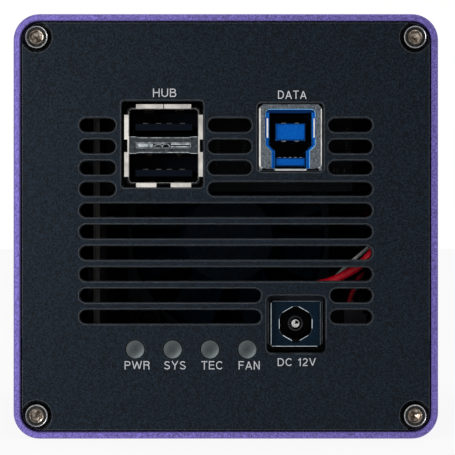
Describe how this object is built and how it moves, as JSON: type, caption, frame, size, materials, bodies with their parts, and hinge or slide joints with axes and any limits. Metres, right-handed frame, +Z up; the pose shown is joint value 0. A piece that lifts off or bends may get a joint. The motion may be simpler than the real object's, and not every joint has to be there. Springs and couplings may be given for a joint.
{
  "type": "cooled astronomy camera",
  "caption": "Square cooled camera body with a slotted rear panel, hub and data ports, power jack, lamps, a fan and a front telescope thread.",
  "frame": {"origin": "centre of the telescope thread's mouth, on the optical axis", "axes": "+Y along the optical axis towards the telescope, +Z up, +X to the right when seen from behind"},
  "size_m": [0.08, 0.0995, 0.08],
  "materials": {
    "purple_anodised": "fine-blasted purple anodising",
    "black_anodised": "fine-blasted black anodising",
    "screw_steel": "polished stainless steel",
    "nickel": "nickel-plated pressed steel",
    "dark_plastic": "moulded black plastic",
    "gold_contact": "gold-plated contact",
    "clear_plastic": "clear moulded plastic",
    "blue_plastic": "moulded blue plastic",
    "gloss_black_plastic": "moulded glossy black plastic",
    "frosted_plastic": "frosted grey light pipe, unlit",
    "led_resin": "lamp resin",
    "black_board": "black solder mask on glass epoxy",
    "board_edge": "glass epoxy board",
    "fan_plastic": "moulded black plastic",
    "bronze": "sintered bronze",
    "ground_steel": "ground steel",
    "magnet_rubber": "bonded magnet",
    "core_steel": "laminated steel",
    "copper_wire": "enamelled copper winding",
    "sink_aluminium": "extruded aluminium, anodised black",
    "white_ceramic": "alumina ceramic",
    "pellet_alloy": "bismuth telluride pellet",
    "copper_block": "machined copper",
    "black_rubber": "moulded black rubber",
    "dark_ceramic": "sensor package ceramic",
    "silicon": "silicon die",
    "coated_glass": "coated optical glass",
    "ribbon_film": "black polyimide ribbon",
    "tinned_metal": "tinned terminal",
    "red_insulation": "red lead insulation",
    "black_insulation": "black lead insulation",
    "white_insulation": "pale lead insulation",
    "pale_nylon": "grey nylon connector"
  },
  "bodies": {
    "camera": {"board_links": "dark_plastic", "board_screws": "screw_steel", "body_shell": "purple_anodised", "chamber_gaskets": "black_rubber", "chamber_screws": "screw_steel", "cold_finger": "copper_block", "cooler_lead_black": "black_insulation", "cooler_lead_red": "red_insulation", "cooler_pellets": "pellet_alloy", "cooler_plates": "white_ceramic", "data_port_contacts": "nickel", "data_port_insulator": "blue_plastic", "data_port_shell": "nickel", "fan_bearing": "bronze", "fan_coils": "copper_wire", "fan_frame": "fan_plastic", "fan_header": "pale_nylon", "fan_lead_black": "black_insulation", "fan_lead_red": "red_insulation", "fan_motor_board": "black_board", "fan_plug": "pale_nylon", "fan_screws": "screw_steel", "fan_stator": "core_steel", "front_plate": "black_anodised", "front_screws": "screw_steel", "heat_sink": "sink_aluminium", "hub_port_contacts": "gold_contact", "hub_port_insulator": "dark_plastic", "hub_port_light_pipe": "clear_plastic", "hub_port_shell": "nickel", "lamp_leds": "led_resin", "lamp_light_pipes": "frosted_plastic", "lead_grommets": "black_rubber", "main_board": "board_edge", "nose_adapter": "black_anodised", "nose_screws": "screw_steel", "port_board": "black_board", "power_board": "black_board", "power_jack_body": "gloss_black_plastic", "power_jack_pin": "nickel", "power_jack_sleeve": "nickel", "rear_plate": "black_anodised", "rear_screws": "screw_steel", "sense_lead": "white_insulation", "sensor_board": "black_board", "sensor_chamber": "black_anodised", "sensor_cover_glass": "coated_glass", "sensor_die": "silicon", "sensor_package": "dark_ceramic", "sensor_ribbon": "ribbon_film", "sensor_screws": "screw_steel", "supply_terminals": "tinned_metal", "window_glass": "coated_glass", "window_retainer": "black_anodised", "window_seal": "black_rubber"},
    "fan_wheel": {"fan_rotor": "fan_plastic", "fan_yoke": "ground_steel", "fan_magnet": "magnet_rubber", "fan_shaft": "ground_steel"}
  },
  "joints": [
    {"name": "fan_spin", "type": "hinge", "parent": "camera", "child": "fan_wheel", "pos_m": [0.0005, -0.0745, -0.0024], "axis": [0, 1, 0], "continuous": true}
  ]
}
